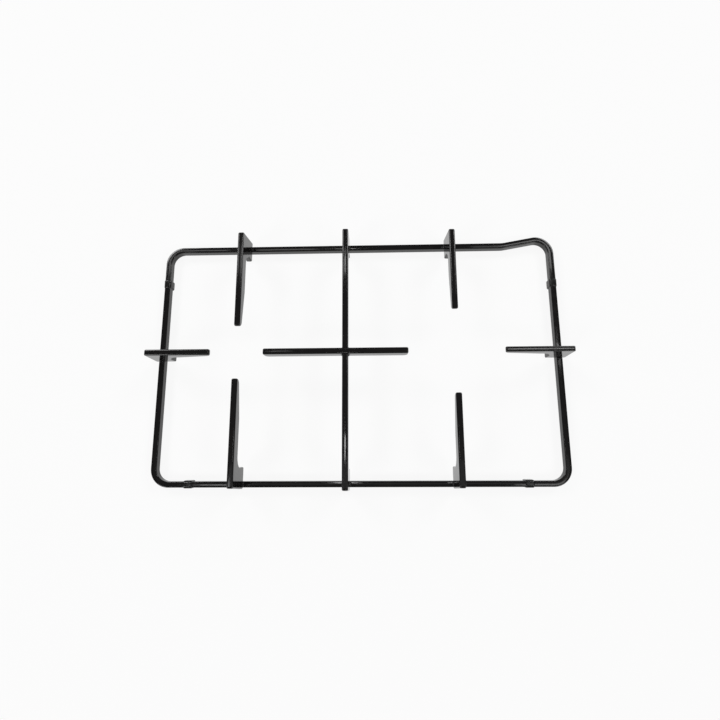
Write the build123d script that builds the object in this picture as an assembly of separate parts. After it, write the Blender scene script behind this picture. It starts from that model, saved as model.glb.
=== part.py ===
from build123d import *
import math
import os

# Hob pan support for two burners: a frame of bent rectangular steel rod, flat steel blades
# welded on top of it, and four rubber sleeves on the rod that stand on the hob.
# Millimetres, +X to the right, +Y to the rear, +Z up. The origin is under the middle
# of the whole support, on the hob surface that the sleeve pads stand on.

# Frame of rectangular rod, higher than wide. Its sizes are taken at the rod's axis.
rod_width = 6.0
rod_height = 8.0
rod_edge = 0.8
frame_width = 440.0
frame_depth = 265.0
corner_bend = 16.5
# The right end of the rear rail is bent out to the rear, ahead of its corner.
kick_run = 54.0
kick_angle = 10.2
kick_bend = 30.0

# Blades, cut from flat bar and enamelled.
blade_thickness = 6.0
blade_height = 37.05
bar_depth = 13.5
foot_length = 22.6
foot_corner = 1.2
top_corner = 2.0
root_bend = 12.0
root_run = 1.0
nose_depth = 7.0
nose_round = 5.5
taper_length = 40.0
edge_break = 1.0
# A foot reaches past the rod's axis, and its outer end leans in towards the top.
side_overhang = 6.0
front_overhang = 4.7
rear_overhang = 7.5
foot_rake = 3.9
# Each foot stands on the flat top of the rod, with a thin gap in place of the weld.
weld_clearance = 0.05

# Burners, seen from the middle of the frame.
left_burner_x = -126.0
right_burner_x = 101.8
burner_y = 3.6
left_burner_gap = 28.0
right_burner_side_gap = 49.6
right_burner_end_gap = 44.0

# The two bars in the middle are let into each other, with their tops level. The longer one
# reaches further past both rails than the fingers do.
centre_bar_x = -12.7
centre_bar_reach = 2.2
lap_clearance = 0.1
cross_bar_nose = 5.0

# Rubber sleeves on the rod, placed by their distance from the rails at the corners.
sleeve_length = 11.5
sleeve_wall = 1.15
sleeve_clearance = 0.1
sleeve_edge = 0.5
sleeve_corner = 1.6
pad_drop = 3.0
slit_width = 0.5
left_sleeve_inset = 40.8
right_sleeve_inset = 45.2
front_left_sleeve_inset = 37.6
front_right_sleeve_inset = 41.7

rail_x = frame_width / 2
rail_y = frame_depth / 2
side_end = rail_x + side_overhang
front_end = rail_y + front_overhang
rear_end = rail_y + rear_overhang
centre_bar_front = front_end + centre_bar_reach
centre_bar_rear = rear_end + centre_bar_reach
rod_axis_z = pad_drop + rod_height / 2
foot_z = pad_drop + rod_height + weld_clearance
top_z = foot_z + blade_height
lap_z = top_z - bar_depth / 2
kick_x = rail_x - kick_run
kick_rise = kick_run * math.tan(math.radians(kick_angle))

# The bend at the rear right corner or the centre bar reaches furthest to the rear, and the
# front sleeves or the centre bar reach furthest to the front. The round corner of a leaning
# foot sets its end back a little.
rake_angle = math.atan2(foot_rake, blade_height)
corner_setback = foot_corner * ((1 + math.sin(rake_angle)) / math.cos(rake_angle) - 1)
kick_bend_rise = (kick_run - corner_bend) * math.tan(math.radians(kick_angle))
kick_bend_y = rail_y + kick_bend_rise - corner_bend / math.cos(math.radians(kick_angle))
rear_reach = max(kick_bend_y + corner_bend + rod_width / 2, centre_bar_rear - corner_setback)
front_reach = max(rail_y + rod_width / 2 + sleeve_wall, centre_bar_front - corner_setback)
frame_y = (front_reach - rear_reach) / 2


def placed(solid):
    """Move a solid from the middle of the frame to the origin of the support."""
    return Pos(0, frame_y, 0) * solid


def bent_rod():
    """One rectangular rod, bent to a ring with the rear rail kicked out at its right end."""
    corners = [
        (-rail_x, -rail_y),
        (rail_x, -rail_y),
        (rail_x, rail_y + kick_rise),
        (kick_x, rail_y),
        (-rail_x, rail_y),
    ]
    outline = make_face(Polyline(*corners, close=True))
    kick = outline.vertices().sort_by_distance((kick_x, rail_y, 0))[0:1]
    outline = fillet(kick, kick_bend)
    bends = outline.vertices().sort_by_distance((kick_x, rail_y, 0))[2:]
    outline = fillet(bends, corner_bend)
    path = outline.wire()
    section = RectangleRounded(rod_height, rod_width, rod_edge)
    across = Plane(origin=path @ 0, x_dir=(0, 0, 1), z_dir=path % 0)
    return Pos(0, 0, rod_axis_z) * sweep(across * section, path=path)


def flat_bar(profile):
    """A profile (along, height) cut from flat bar, standing on XZ and centred on Y."""
    bar = extrude(Plane.XZ * profile, blade_thickness / 2, both=True)
    sides = bar.faces().sort_by(Axis.Y)
    return chamfer(sides[0].edges() + sides[-1].edges(), edge_break)


def corner_fillet(profile, corner, radius):
    """Round the corner of a flat profile that lies nearest to a given point."""
    nearest = profile.vertices().sort_by_distance((corner[0], corner[1], 0))[0:1]
    return fillet(nearest, radius)


def finger(length):
    """A blade with one foot, its outer end at X 0, reaching a given length along +X."""
    underside = top_z - bar_depth
    taper_start = max(length - taper_length, foot_length + root_bend + root_run)
    root = (foot_length, underside)
    nose = (length, top_z - nose_depth)
    profile = make_face(
        Polyline(
            (0, foot_z),
            (foot_length, foot_z),
            root,
            (taper_start, underside),
            nose,
            (length, top_z),
            (foot_rake, top_z),
            close=True,
        )
    )
    profile = corner_fillet(profile, root, root_bend)
    profile = corner_fillet(profile, nose, nose_round)
    profile = corner_fillet(profile, (foot_rake, top_z), top_corner)
    for corner in ((0, foot_z), (foot_length, foot_z)):
        profile = corner_fillet(profile, corner, foot_corner)
    return flat_bar(profile)


def lap_slot(at, low, high):
    """The slot in one of the two middle bars that the other one is let into."""
    slot = Box(blade_thickness + lap_clearance, 2 * blade_thickness, high - low)
    return Pos(at, 0, (low + high) / 2) * slot


def bridge_bar():
    """The middle bar, standing on the front and rear rails, its front end at X 0."""
    length = centre_bar_front + centre_bar_rear
    underside = top_z - bar_depth
    roots = ((foot_length, underside), (length - foot_length, underside))
    profile = make_face(
        Polyline(
            (0, foot_z),
            (foot_length, foot_z),
            roots[0],
            roots[1],
            (length - foot_length, foot_z),
            (length, foot_z),
            (length - foot_rake, top_z),
            (foot_rake, top_z),
            close=True,
        )
    )
    for root in roots:
        profile = corner_fillet(profile, root, root_bend)
    for corner in ((foot_rake, top_z), (length - foot_rake, top_z)):
        profile = corner_fillet(profile, corner, top_corner)
    for along in (0, foot_length, length - foot_length, length):
        profile = corner_fillet(profile, (along, foot_z), foot_corner)
    slot = lap_slot(centre_bar_front + burner_y, lap_z, top_z + bar_depth)
    return flat_bar(profile) - slot


def cross_arm():
    """The short bar across the middle bar, its left end at X 0."""
    left_end = left_burner_x + left_burner_gap
    length = right_burner_x - right_burner_side_gap - left_end
    underside = top_z - bar_depth
    profile = Pos(length / 2, top_z - bar_depth / 2) * Rectangle(length, bar_depth)
    for end in (0, length):
        profile = corner_fillet(profile, (end, underside), cross_bar_nose)
        profile = corner_fillet(profile, (end, top_z), foot_corner)
    slot = lap_slot(centre_bar_x - left_end, underside - bar_depth, lap_z + lap_clearance)
    return Pos(left_end, burner_y, 0) * (flat_bar(profile) - slot)


def sleeve():
    """A rubber sleeve along X with a thick pad below, slit along one side to go on the rod."""
    width = rod_width + 2 * sleeve_wall
    height = pad_drop + rod_height + sleeve_wall
    side = Pos(0, height / 2) * RectangleRounded(width, height, sleeve_corner)
    body = extrude(Plane.YZ * side, sleeve_length / 2, both=True)
    ends = body.faces().sort_by(Axis.X)
    body = chamfer(ends[0].edges() + ends[-1].edges(), sleeve_edge)
    play = 2 * sleeve_clearance
    hole = RectangleRounded(rod_width + play, rod_height + play, rod_edge + sleeve_clearance)
    bore = extrude(Plane.YZ * (Pos(0, rod_axis_z) * hole), sleeve_length, both=True)
    slit = Pos(0, width / 2, rod_axis_z) * Box(2 * sleeve_length, width, slit_width)
    return body - bore - slit


left_tip = left_burner_x - left_burner_gap
right_tip = right_burner_x + right_burner_side_gap
left_rear_tip = burner_y + left_burner_gap
left_front_tip = burner_y - left_burner_gap
right_rear_tip = burner_y + right_burner_end_gap
right_front_tip = burner_y - right_burner_end_gap

left_sleeve_y = rail_y - left_sleeve_inset
right_sleeve_y = rail_y - right_sleeve_inset
front_left_sleeve_x = front_left_sleeve_inset - rail_x
front_right_sleeve_x = rail_x - front_right_sleeve_inset

pieces = {
    "perimeter_rod": bent_rod(),
    "centre_bar": Pos(centre_bar_x, -centre_bar_front, 0) * Rot(0, 0, 90) * bridge_bar(),
    "cross_bar": cross_arm(),
    "finger_left": Pos(-side_end, burner_y, 0) * finger(left_tip + side_end),
    "finger_right": Pos(side_end, burner_y, 0) * Rot(0, 0, 180) * finger(side_end - right_tip),
    "foot_sleeve_left": Pos(-rail_x, left_sleeve_y, 0) * Rot(0, 0, -90) * sleeve(),
    "foot_sleeve_right": Pos(rail_x, right_sleeve_y, 0) * Rot(0, 0, 90) * sleeve(),
    "foot_sleeve_front_left": Pos(front_left_sleeve_x, -rail_y, 0) * sleeve(),
    "foot_sleeve_front_right": Pos(front_right_sleeve_x, -rail_y, 0) * sleeve(),
}
for side, x, rear_tip, front_tip in (
    ("left", left_burner_x, left_rear_tip, left_front_tip),
    ("right", right_burner_x, right_rear_tip, right_front_tip),
):
    rear = Rot(0, 0, -90) * finger(rear_end - rear_tip)
    front = Rot(0, 0, 90) * finger(front_tip + front_end)
    pieces[f"finger_rear_{side}"] = Pos(x, rear_end, 0) * rear
    pieces[f"finger_front_{side}"] = Pos(x, -front_end, 0) * front

os.makedirs("parts", exist_ok=True)
for name, piece in pieces.items():
    export_step(placed(piece), f"parts/{name}.step")
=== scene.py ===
import math

import bmesh
import bpy
from mathutils import Euler, Matrix, Vector


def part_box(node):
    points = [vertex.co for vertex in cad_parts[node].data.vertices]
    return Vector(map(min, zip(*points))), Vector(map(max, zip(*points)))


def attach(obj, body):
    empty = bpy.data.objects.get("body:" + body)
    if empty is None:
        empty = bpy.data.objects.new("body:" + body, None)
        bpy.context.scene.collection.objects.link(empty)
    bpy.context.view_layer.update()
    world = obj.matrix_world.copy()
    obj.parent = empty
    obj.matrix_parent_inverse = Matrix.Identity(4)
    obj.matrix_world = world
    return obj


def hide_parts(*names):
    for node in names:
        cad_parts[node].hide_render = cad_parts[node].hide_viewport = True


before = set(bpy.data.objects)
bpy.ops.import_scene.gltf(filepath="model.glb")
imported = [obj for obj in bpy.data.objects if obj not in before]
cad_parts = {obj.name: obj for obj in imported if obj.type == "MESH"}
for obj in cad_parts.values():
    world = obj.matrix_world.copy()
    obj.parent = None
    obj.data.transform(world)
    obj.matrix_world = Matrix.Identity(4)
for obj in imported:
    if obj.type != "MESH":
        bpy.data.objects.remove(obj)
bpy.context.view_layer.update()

# Rod frame: one length of rectangular mild steel rod with rolled round edges, bent cold round
# a former to a rounded rectangle and butt welded shut. The rear rail is set outwards ahead of
# its right corner, and the ring is enamelled together with all that it carries.
MM = 0.001
enamel_coat = 0.2 * MM
rod_width = 6 * MM
rod_edge = 0.8 * MM
rod_crown = 0.25 * MM
crown_round = 25 * MM
frame_depth = 265 * MM
corner_bend = 16.5 * MM
kick_run = 54 * MM
kick_angle = math.radians(10.2)
kick_bend = 30 * MM

rod_low, rod_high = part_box("perimeter_rod")
rod_top = rod_high.z
rod_underside = rod_low.z
left_rail = rod_low.x + rod_width / 2
right_rail = rod_high.x - rod_width / 2
front_rail = rod_low.y + rod_width / 2
rear_rail = front_rail + frame_depth
kick_rise = kick_run * math.tan(kick_angle)


def linear(code):
    """An sRGB hex colour as the linear colour that a shader takes."""
    parts = [int(code[i:i + 2], 16) / 255 for i in (1, 3, 5)]
    return [p / 12.92 if p <= 0.04045 else ((p + 0.055) / 1.055) ** 2.4 for p in parts] + [1.0]


def add(tree, kind, sockets={}, **settings):
    """Add a node, with its settings, and with a value or a link for each socket that is named."""
    node = tree.nodes.new(kind)
    for name, value in settings.items():
        setattr(node, name, value)
    for name, value in sockets.items():
        if isinstance(value, bpy.types.NodeSocket):
            tree.links.new(value, node.inputs[name])
        else:
            node.inputs[name].default_value = value
    return node


def black_vitreous_enamel():
    """Black vitreous enamel: ground glass sprayed on the bare steel and fired until it flows.

    The melt leaves a hard gloss that is never quite flat: slow waves where it ran, a fine
    orange peel, and a black that is a shade browner where the coat is thin."""
    run_width = 26 * MM
    run_height = 0.15 * MM
    peel_width = 2.4 * MM
    peel_height = 0.006 * MM
    thin_patch = 9 * MM
    material = bpy.data.materials.new("black_vitreous_enamel")
    material.use_nodes = True
    tree = material.node_tree
    place = add(tree, "ShaderNodeTexCoord").outputs["Object"]
    runs = add(tree, "ShaderNodeTexNoise", {"Vector": place, "Scale": 1 / run_width, "Detail": 1.0})
    peel = add(tree, "ShaderNodeTexNoise", {"Vector": place, "Scale": 1 / peel_width, "Detail": 2.0})
    thin = add(tree, "ShaderNodeTexNoise", {"Vector": place, "Scale": 1 / thin_patch, "Detail": 3.0})
    shades = {0: thin.outputs["Fac"], 6: linear("#0b0b0d"), 7: linear("#171514")}
    colour = add(tree, "ShaderNodeMix", shades, data_type="RGBA")
    gloss = add(tree, "ShaderNodeMapRange", {
        "Value": thin.outputs["Fac"],
        "From Min": 0.3,
        "From Max": 0.7,
        "To Min": 0.06,
        "To Max": 0.12,
    })
    waves = add(tree, "ShaderNodeBump", {
        "Height": runs.outputs["Fac"],
        "Distance": run_height,
        "Strength": 1.0,
    })
    skin = add(tree, "ShaderNodeBump", {
        "Height": peel.outputs["Fac"],
        "Distance": peel_height,
        "Strength": 1.0,
        "Normal": waves.outputs["Normal"],
    })
    shader = tree.nodes["Principled BSDF"]
    shader.inputs["IOR"].default_value = 1.43
    tree.links.new(colour.outputs[2], shader.inputs["Base Color"])
    tree.links.new(gloss.outputs["Result"], shader.inputs["Roughness"])
    tree.links.new(skin.outputs["Normal"], shader.inputs["Normal"])
    return material


def outline(corners):
    """The points of a flat outline of (x, y, radius) corners, each one a round arc."""
    arc_step = math.radians(6)
    same_point = 0.001 * MM
    points = []
    for i, (x, y, radius) in enumerate(corners):
        corner = Vector((x, y))
        if radius == 0:
            points.append(corner)
            continue
        back = (Vector(corners[i - 1][:2]) - corner).normalized()
        onward = (Vector(corners[(i + 1) % len(corners)][:2]) - corner).normalized()
        turn = math.pi - back.angle(onward)
        middle = corner + (back + onward).normalized() * radius / math.cos(turn / 2)
        start = corner + back * radius * math.tan(turn / 2) - middle
        end = corner + onward * radius * math.tan(turn / 2) - middle
        steps = max(4, round(turn / arc_step))
        for k in range(steps + 1):
            share = k / steps
            spoke = start * math.sin((1 - share) * turn) + end * math.sin(share * turn)
            points.append(middle + spoke / math.sin(turn))
    return [p for i, p in enumerate(points) if (p - points[i - 1]).length > same_point]


def keep_flats(piece):
    """Keep the flat faces of a smooth piece flat, and its cut corners sharp."""
    sharp_corner = math.radians(30)
    shape = bmesh.new()
    shape.from_mesh(piece.data)
    for edge in shape.edges:
        edge.smooth = edge.calc_face_angle(0) < sharp_corner
    shape.to_mesh(piece.data)
    shape.free()
    flats = piece.modifiers.new("flat faces stay flat", "WEIGHTED_NORMAL")
    flats.weight = 100
    flats.keep_sharp = True


def smooth_piece(name, shape):
    """A finished mesh as a piece of its own, shaded smooth."""
    bmesh.ops.recalc_face_normals(shape, faces=shape.faces)
    for face in shape.faces:
        face.smooth = True
    mesh = bpy.data.meshes.new(name)
    shape.to_mesh(mesh)
    shape.free()
    piece = bpy.data.objects.new(name, mesh)
    bpy.context.scene.collection.objects.link(piece)
    keep_flats(piece)
    return piece


def bent_rod(name, route, section):
    """A closed rod that keeps one section, of (out, up) points, along a level route of points."""
    shape = bmesh.new()
    rings = []
    for i, point in enumerate(route):
        ahead = (route[(i + 1) % len(route)] - point).normalized() + (point - route[i - 1]).normalized()
        out = Vector((ahead.y, -ahead.x)).normalized()
        rings.append([shape.verts.new((*(point + out * p.x), p.y)) for p in section])
    for i, ring in enumerate(rings):
        for k in range(len(section)):
            shape.faces.new((rings[i - 1][k - 1], rings[i - 1][k], ring[k], ring[k - 1]))
    return smooth_piece(name, shape)


def enamelled(piece, node):
    """Lay the enamel's thickness over a steel piece, which stands for a node of the frame."""
    coat = piece.modifiers.new("enamel coat", "DISPLACE")
    coat.strength = enamel_coat
    coat.mid_level = 0
    piece.data.materials.append(enamel)
    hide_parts(node)
    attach(piece, "root")


enamel = black_vitreous_enamel()
rod_route = outline([
    (left_rail, front_rail, corner_bend),
    (right_rail, front_rail, corner_bend),
    (right_rail, rear_rail + kick_rise, corner_bend),
    (right_rail - kick_run, rear_rail, kick_bend),
    (left_rail, rear_rail, corner_bend),
])
# The molten enamel draws itself into a slight crown on the top of the rod.
rod_section = outline([
    (-rod_width / 2, rod_underside, rod_edge),
    (rod_width / 2, rod_underside, rod_edge),
    (rod_width / 2, rod_top, rod_edge),
    (0, rod_top + rod_crown, crown_round),
    (-rod_width / 2, rod_top, rod_edge),
])
enamelled(bent_rod("rod_frame", rod_route, rod_section), "perimeter_rod")

# Fingers: blades cut from 6 mm flat bar, each with a tall foot that stands on the rod and a
# slim arm that reaches in over a burner and thins towards a rounded nose.
# Their edges are ground round before enamelling, because enamel chips off a sharp edge.
bar_depth = 13.5 * MM
foot_length = 22.6 * MM
foot_rake = 3.9 * MM
foot_corner = 1.7 * MM
top_corner = 2 * MM
root_bend = 12 * MM
root_run = 1 * MM
taper_length = 40 * MM
taper_blend = 10 * MM
nose_depth = 7 * MM
nose_round = 5.5 * MM
nose_top = 1.7 * MM
edge_round = 1.2 * MM
blade_crown = 0.04 * MM

finger_headings = {
    "finger_left": 0,
    "finger_right": 180,
    "finger_rear_left": -90,
    "finger_rear_right": -90,
    "finger_front_left": 90,
    "finger_front_right": 90,
}


def cut_piece(name, corners, thickness, rounding, place, crown=0):
    """A piece cut to an outline on its upright plane, through its thickness, with rounded rims.

    The faces between the rims can have a slight crown, which the molten enamel draws itself into."""
    rim_steps = 5
    crown_steps = 5
    shape = bmesh.new()
    points = outline(corners)
    near = [shape.verts.new((p.x, -thickness / 2, p.y)) for p in points]
    far = [shape.verts.new((p.x, thickness / 2, p.y)) for p in points]
    shape.faces.new(near)
    shape.faces.new(far)
    rims = []
    for i in range(len(points)):
        shape.faces.new((near[i - 1], near[i], far[i], far[i - 1]))
        rims += [shape.edges.get((near[i - 1], near[i])), shape.edges.get((far[i - 1], far[i]))]
    bmesh.ops.recalc_face_normals(shape, faces=shape.faces)
    if rounding:
        bmesh.ops.bevel(shape, geom=rims, offset=rounding, segments=rim_steps, profile=0.5, affect="EDGES")
    if crown:
        flat = thickness / 2 - rounding
        across = [e for e in shape.edges if abs(e.verts[0].co.y - e.verts[1].co.y) > 1.9 * flat]
        bmesh.ops.subdivide_edges(shape, edges=across, cuts=crown_steps)
        shape.normal_update()
        for vert in shape.verts:
            if abs(vert.co.y) < 0.99 * flat:
                vert.co += vert.normal * crown * (1 - (vert.co.y / flat) ** 2)
    shape.transform(place)
    return smooth_piece(name, shape)


def heading_place(start, heading):
    """The place of a piece that starts at a point and runs level, along a heading in degrees."""
    return Matrix.Translation(start) @ Matrix.Rotation(math.radians(heading), 4, "Z")


def foot_end(node, heading):
    """Where a blade starts, level with the hob, how long it is, and how thick."""
    low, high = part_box(node)
    along = Vector((math.cos(math.radians(heading)), math.sin(math.radians(heading)), 0))
    size = high - low
    length = abs(size.dot(along))
    start = (low + high) / 2 - along * length / 2
    return Vector((start.x, start.y, 0)), length, min(size.x, size.y)


for node, heading in finger_headings.items():
    start, length, thickness = foot_end(node, heading)
    foot_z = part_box(node)[0].z
    top_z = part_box(node)[1].z
    underside = top_z - bar_depth
    taper_start = max(length - taper_length, foot_length + root_bend + root_run)
    finger = cut_piece(node.replace("finger", "finger_blade"), [
        (0, foot_z, foot_corner),
        (foot_length, foot_z, foot_corner),
        (foot_length, underside, root_bend),
        (taper_start, underside, taper_blend),
        (length, top_z - nose_depth, nose_round),
        (length, top_z, nose_top),
        (foot_rake, top_z, top_corner),
    ], thickness, edge_round, heading_place(start, heading), blade_crown)
    enamelled(finger, node)

# Middle bars: a bridge from rail to rail with a foot at each end, and a short arm across it
# that ends over both burners. Both are of the same flat bar as the fingers, let into each
# other by half of their depth so that their tops are level, and welded at the lap.
arm_nose = 5 * MM
lap_play = 0.05 * MM


def milled(piece, cutter):
    """Take a cutter's shape out of a piece, and keep what is left as the piece's own mesh."""
    piece.modifiers.clear()
    cut = piece.modifiers.new("milled out", "BOOLEAN")
    cut.object = cutter
    cut.solver = "EXACT"
    bpy.context.view_layer.update()
    left = piece.evaluated_get(bpy.context.evaluated_depsgraph_get())
    piece.data = bpy.data.meshes.new_from_object(left)
    piece.modifiers.clear()
    keep_flats(piece)
    bpy.data.objects.remove(cutter)


bridge_start, bridge_length, bridge_thickness = foot_end("centre_bar", 90)
arm_start, arm_length, arm_thickness = foot_end("cross_bar", 0)
bridge_foot_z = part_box("centre_bar")[0].z
bar_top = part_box("centre_bar")[1].z
bar_underside = bar_top - bar_depth
lap_z = bar_top - bar_depth / 2
lap_on_bridge = arm_start.y - bridge_start.y
lap_on_arm = bridge_start.x - arm_start.x
half_slot = bridge_thickness / 2 + lap_play

bridge = cut_piece("bridge_bar", [
    (0, bridge_foot_z, foot_corner),
    (foot_length, bridge_foot_z, foot_corner),
    (foot_length, bar_underside, root_bend),
    (bridge_length - foot_length, bar_underside, root_bend),
    (bridge_length - foot_length, bridge_foot_z, foot_corner),
    (bridge_length, bridge_foot_z, foot_corner),
    (bridge_length - foot_rake, bar_top, top_corner),
    (foot_rake, bar_top, top_corner),
], bridge_thickness, edge_round, heading_place(bridge_start, 90), blade_crown)
milled(bridge, cut_piece("slot_from_above", [
    (lap_on_bridge - half_slot, lap_z, 0),
    (lap_on_bridge + half_slot, lap_z, 0),
    (lap_on_bridge + half_slot, bar_top + bar_depth, 0),
    (lap_on_bridge - half_slot, bar_top + bar_depth, 0),
], 2 * bridge_thickness, 0, heading_place(bridge_start, 90)))

arm = cut_piece("cross_arm", [
    (0, bar_underside, arm_nose),
    (arm_length, bar_underside, arm_nose),
    (arm_length, bar_top, nose_top),
    (0, bar_top, nose_top),
], arm_thickness, edge_round, heading_place(arm_start, 0), blade_crown)
milled(arm, cut_piece("slot_from_below", [
    (lap_on_arm - half_slot, bar_underside - bar_depth, 0),
    (lap_on_arm + half_slot, bar_underside - bar_depth, 0),
    (lap_on_arm + half_slot, lap_z + lap_play, 0),
    (lap_on_arm - half_slot, lap_z + lap_play, 0),
], 2 * arm_thickness, 0, heading_place(arm_start, 0)))

enamelled(bridge, "centre_bar")
enamelled(arm, "cross_bar")

# Seat welds: a short run of weld metal on each side of every foot, in the corner between the
# blade and the flat top of the rod. The runs are left as laid, rippled and a little fuller in
# the middle, and the enamel rounds them over.
seat_run = 5 * MM
seat_steps = 24
seat_bead = 1.2 * MM
bead_pitch = 1.1 * MM
bead_ripple = 0.09


def weld_run(shape, path, radius):
    """Add a bead of weld metal along a line of points, with its ripples and tapered ends."""
    sides = 12
    cut_end = 0.04
    end_round = 0.45
    run = sum((b - a).length for a, b in zip(path, path[1:]))
    rings = []
    gone = 0.0
    for i, point in enumerate(path):
        ahead = (path[min(i + 1, len(path) - 1)] - path[max(i - 1, 0)]).normalized()
        across = ahead.orthogonal().normalized()
        up = ahead.cross(across)
        gone += (point - path[max(i - 1, 0)]).length
        along = cut_end + (1 - 2 * cut_end) * gone / run
        taper = max(math.sin(math.pi * along), 0) ** end_round
        ripple = 1 + bead_ripple * math.sin(2 * math.pi * gone / bead_pitch)
        size = radius * taper * ripple
        angles = [2 * math.pi * k / sides for k in range(sides)]
        spokes = [math.cos(a) * across + math.sin(a) * up for a in angles]
        rings.append([shape.verts.new(point + size * spoke) for spoke in spokes])
    for first, second in zip(rings, rings[1:]):
        for k in range(sides):
            shape.faces.new((first[k - 1], first[k], second[k], second[k - 1]))
    shape.faces.new(rings[0])
    shape.faces.new(rings[-1])


def weld_piece(name, shape):
    """Weld runs as one enamelled piece of the frame."""
    piece = smooth_piece(name, shape)
    piece.data.materials.append(enamel)
    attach(piece, "root")


seat_rails = {0: ("x", left_rail), 180: ("x", right_rail), 90: ("y", front_rail), -90: ("y", rear_rail)}
feet = [(node, heading, foot_end(node, heading)[0]) for node, heading in finger_headings.items()]
feet += [("bridge_front", 90, bridge_start), ("bridge_rear", -90, bridge_start)]

for name, heading, start in feet:
    axis, rail = seat_rails[heading]
    seat = start.copy()
    setattr(seat, axis, rail)
    place = heading_place(seat, heading)
    shape = bmesh.new()
    for side in (-1, 1):
        corner = side * (bridge_thickness / 2 + enamel_coat)
        places = [seat_run * (k / seat_steps - 0.5) for k in range(seat_steps + 1)]
        path = [place @ Vector((along, corner, rod_top + enamel_coat)) for along in places]
        weld_run(shape, path, seat_bead)
    weld_piece("seat_weld_" + name.replace("finger_", ""), shape)

# Lap welds: the two middle bars are held by a fillet run in each of the four corners that they
# make, from the tops down to the undersides, and by a seam on each side of the lap on top.
lap_bead = 1.4 * MM
lap_sink = 1.1 * lap_bead
lap_steps = 30
seam_bead = 1.2 * MM
seam_sink = 1.05 * MM
seam_inset = 0.3 * MM
seam_steps = 18

lap = Vector((bridge_start.x, arm_start.y, 0))
lap_shape = bmesh.new()
for side in (-1, 1):
    for end in (-1, 1):
        foot = lap + Vector((side * bridge_thickness, end * arm_thickness, 0)) / 2
        top = bar_top - lap_sink
        drop = top - (bar_underside + lap_bead)
        heights = [top - drop * k / lap_steps for k in range(lap_steps + 1)]
        weld_run(lap_shape, [foot + Vector((0, 0, z)) for z in heights], lap_bead)
    seam_y = side * (arm_thickness / 2 - seam_inset)
    seam_z = bar_top - seam_sink
    reach = bridge_thickness / 2 - seam_inset
    places = [reach * (2 * k / seam_steps - 1) for k in range(seam_steps + 1)]
    weld_run(lap_shape, [lap + Vector((x, seam_y, seam_z)) for x in places], seam_bead)
weld_piece("lap_weld", lap_shape)

# Rubber feet: four short sleeves moulded in heat-resistant silicone rubber, slit along the
# side so that they snap over the rod, each with a thick pad below that stands on the hob.
sleeve_rim = 1.6 * MM
sleeve_shoulder = 3 * MM
pad_corner = 2.4 * MM
end_setback = 0.8 * MM
half_slit = 0.25 * MM

sleeve_turns = {
    "foot_sleeve_left": -90,
    "foot_sleeve_right": 90,
    "foot_sleeve_front_left": 0,
    "foot_sleeve_front_right": 0,
}


def black_silicone_rubber():
    """Black silicone rubber, moulded in a smooth tool and dusted a little by handling.

    It is a deep black with soft, small highlights, and greyer and duller where dust sits.
    The skin's grain is really about 0.1 mm, and is drawn at 0.5 mm so that it shows at all."""
    grain_width = 0.5 * MM
    grain_height = 0.01 * MM
    dust_patch = 4 * MM
    material = bpy.data.materials.new("black_silicone_rubber")
    material.use_nodes = True
    tree = material.node_tree
    place = add(tree, "ShaderNodeTexCoord").outputs["Object"]
    grit = add(tree, "ShaderNodeTexNoise", {"Vector": place, "Scale": 1 / grain_width, "Detail": 2.0})
    dust = add(tree, "ShaderNodeTexNoise", {"Vector": place, "Scale": 1 / dust_patch, "Detail": 3.0})
    shades = {0: dust.outputs["Fac"], 6: linear("#090909"), 7: linear("#131312")}
    colour = add(tree, "ShaderNodeMix", shades, data_type="RGBA")
    matt = add(tree, "ShaderNodeMapRange", {
        "Value": dust.outputs["Fac"],
        "From Min": 0.3,
        "From Max": 0.7,
        "To Min": 0.1,
        "To Max": 0.18,
    })
    grain = add(tree, "ShaderNodeBump", {
        "Height": grit.outputs["Fac"],
        "Distance": grain_height,
        "Strength": 1.0,
    })
    shader = tree.nodes["Principled BSDF"]
    shader.inputs["IOR"].default_value = 1.41
    tree.links.new(colour.outputs[2], shader.inputs["Base Color"])
    tree.links.new(matt.outputs["Result"], shader.inputs["Roughness"])
    tree.links.new(grain.outputs["Normal"], shader.inputs["Normal"])
    return material


rubber = black_silicone_rubber()
half_bore = rod_width / 2 + enamel_coat
bore_corner = rod_edge + enamel_coat
bore_top = rod_top + enamel_coat
bore_underside = rod_underside - enamel_coat
slit_z = (rod_top + rod_underside) / 2
for node, turn in sleeve_turns.items():
    low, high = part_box(node)
    size = high - low
    sleeve_length = max(size.x, size.y) - 2 * end_setback
    half_width = min(size.x, size.y) / 2
    middle = (low + high) / 2
    place = heading_place(Vector((middle.x, middle.y, 0)), turn + 90)
    sleeve = cut_piece(node.replace("foot_sleeve", "rubber_foot"), [
        (-half_width, low.z, pad_corner),
        (half_width, low.z, pad_corner),
        (half_width, high.z, sleeve_shoulder),
        (-half_width, high.z, sleeve_shoulder),
    ], sleeve_length, sleeve_rim, place)
    keyhole = cut_piece("keyhole", [
        (2 * half_width, slit_z - half_slit, 0),
        (2 * half_width, slit_z + half_slit, 0),
        (half_bore, slit_z + half_slit, 0),
        (half_bore, bore_top, bore_corner),
        (-half_bore, bore_top, bore_corner),
        (-half_bore, bore_underside, bore_corner),
        (half_bore, bore_underside, bore_corner),
        (half_bore, slit_z - half_slit, 0),
    ], 2 * sleeve_length, 0, place)
    milled(sleeve, keyhole)
    sleeve.data.materials.clear()
    sleeve.data.materials.append(rubber)
    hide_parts(node)
    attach(sleeve, "root")

# Table: a wide sheet of matt white board that the support stands on.
# Most of its white is a glow that seen, mirrored and transmitted rays all meet, and the rest is
# plain paper that takes the support's soft shadow.
board_half = 8.0
glow = 0.9

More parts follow.
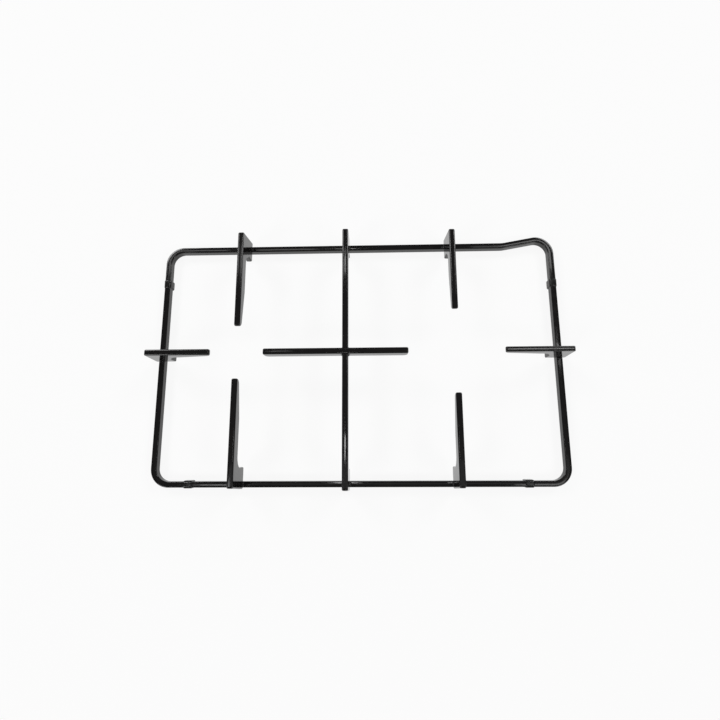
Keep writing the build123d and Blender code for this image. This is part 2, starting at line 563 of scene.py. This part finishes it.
board_shape = bmesh.new()
bmesh.ops.create_grid(board_shape, x_segments=8, y_segments=8, size=board_half)
board_mesh = bpy.data.meshes.new("white_board")
board_shape.to_mesh(board_mesh)
board_shape.free()
board = bpy.data.objects.new("white_board", board_mesh)
bpy.context.scene.collection.objects.link(board)

white_board = bpy.data.materials.new("matt_white_board")
white_board.use_nodes = True
tree = white_board.node_tree
tree.nodes.clear()
rays = add(tree, "ShaderNodeLightPath").outputs
clear = {0: rays["Is Camera Ray"], 1: rays["Is Transmission Ray"]}
seen = add(tree, "ShaderNodeMath", clear, operation="MAXIMUM").outputs[0]
seen = add(tree, "ShaderNodeMath", {0: seen, 1: rays["Is Glossy Ray"]}, operation="MAXIMUM").outputs[0]
share = add(tree, "ShaderNodeMath", {0: seen, 1: glow}, operation="MULTIPLY")
paper = add(tree, "ShaderNodeBsdfDiffuse", {"Color": linear("#dcdcdc")})
white = add(tree, "ShaderNodeEmission", {"Color": linear("#ffffff"), "Strength": 1.0})
blend = add(tree, "ShaderNodeMixShader", {0: share.outputs[0], 1: paper.outputs[0], 2: white.outputs[0]})
add(tree, "ShaderNodeOutputMaterial", {"Surface": blend.outputs[0]})
board_mesh.materials.append(white_board)

# Studio: a dim room over a white table, lit by a soft box at each corner of the table.
# Small lamps hang level overhead, and leave the short highlights on the bars and rails.
studio = bpy.data.worlds.new("studio")
studio.use_nodes = True
tree = studio.node_tree
tree.nodes.clear()
direction = add(tree, "ShaderNodeTexCoord").outputs["Generated"]
height = add(tree, "ShaderNodeSeparateXYZ", {"Vector": direction}).outputs["Z"]
wall = add(tree, "ShaderNodeValToRGB", {"Fac": height})
wall.color_ramp.elements[0].position = 0.03
wall.color_ramp.elements[0].color = linear("#f6f6f6")
wall.color_ramp.elements[1].position = 0.95
wall.color_ramp.elements[1].color = linear("#6c6c6c")
for z in (0.1, 0.75):
    wall.color_ramp.elements.new(z).color = linear("#424242")
room = add(tree, "ShaderNodeBackground", {"Color": wall.outputs["Color"], "Strength": 1.0})
add(tree, "ShaderNodeOutputWorld", {"Surface": room.outputs[0]})
bpy.context.scene.world = studio


def soft_box(name, place, width, depth, watts, level=False):
    """A soft box that hangs level, or that faces the middle of the table."""
    lamp = bpy.data.lights.new(name, "AREA")
    lamp.shape = "RECTANGLE"
    lamp.size = width
    lamp.size_y = depth
    lamp.energy = watts
    box = bpy.data.objects.new(name, lamp)
    box.location = place
    if not level:
        box.rotation_euler = (-Vector(place)).to_track_quat("-Z", "Y").to_euler()
    box.visible_camera = False
    bpy.context.scene.collection.objects.link(box)


box_height = 1.3
box_side = 0.6
corner_boxes = {
    "front_left_box": (-1.2, -1.0, 13),
    "rear_left_box": (-1.2, 1.1, 16),
    "front_right_box": (1.2, -1.0, 10),
    "rear_right_box": (1.2, 1.1, 15),
}
for name, (x, y, watts) in corner_boxes.items():
    soft_box(name, (x, y, box_height), box_side, box_side, watts)

# Each strip has its place over the table, its width and depth in metres, and its watts.
strip_height = 1.2
strips = {
    "front_left_strip": (-0.54, -0.28, 0.16, 0.1, 0.26),
    "front_strip": (0.15, -0.20, 1.3, 0.1, 0.14),
    "front_right_strip": (0.66, -0.31, 0.25, 0.13, 0.34),
    "rear_left_strip": (-0.65, 0.61, 0.22, 0.11, 0.2),
    "rear_middle_strip": (-0.315, 0.58, 0.23, 0.12, 0.2),
    "rear_strip": (-0.082, 0.577, 0.07, 0.055, 0.135),
    "rear_right_strip": (0.46, 0.55, 0.12, 0.16, 0.07),
    "rear_corner_strip": (0.60, 0.61, 0.16, 0.11, 0.22),
    "top_strip": (-0.078, -0.1, 0.07, 0.07, 0.2),
    "right_strip": (0.62, 0.238, 0.3, 0.06, 0.36),
    "cross_strip": (-0.326, 0.24, 0.07, 0.05, 0.033),
}
for name, (x, y, width, depth, watts) in strips.items():
    soft_box(name, (x, y, strip_height), width, depth, watts, level=True)

# Camera: held over the front of the support and tipped back a little, as in the photograph.
camera = bpy.data.cameras.new("camera")
camera.sensor_width = 36
camera.lens = 22.5874
camera.dof.use_dof = False
eye = bpy.data.objects.new("camera", camera)
eye.location = (14.35 * MM, -91.55 * MM, 501.87 * MM)
eye.rotation_euler = Euler([math.radians(a) for a in (10.4387, 1.532, -0.261)])
bpy.context.scene.collection.objects.link(eye)
bpy.context.scene.camera = eye
bpy.context.scene.view_settings.view_transform = "Standard"

bpy.context.view_layer.update()
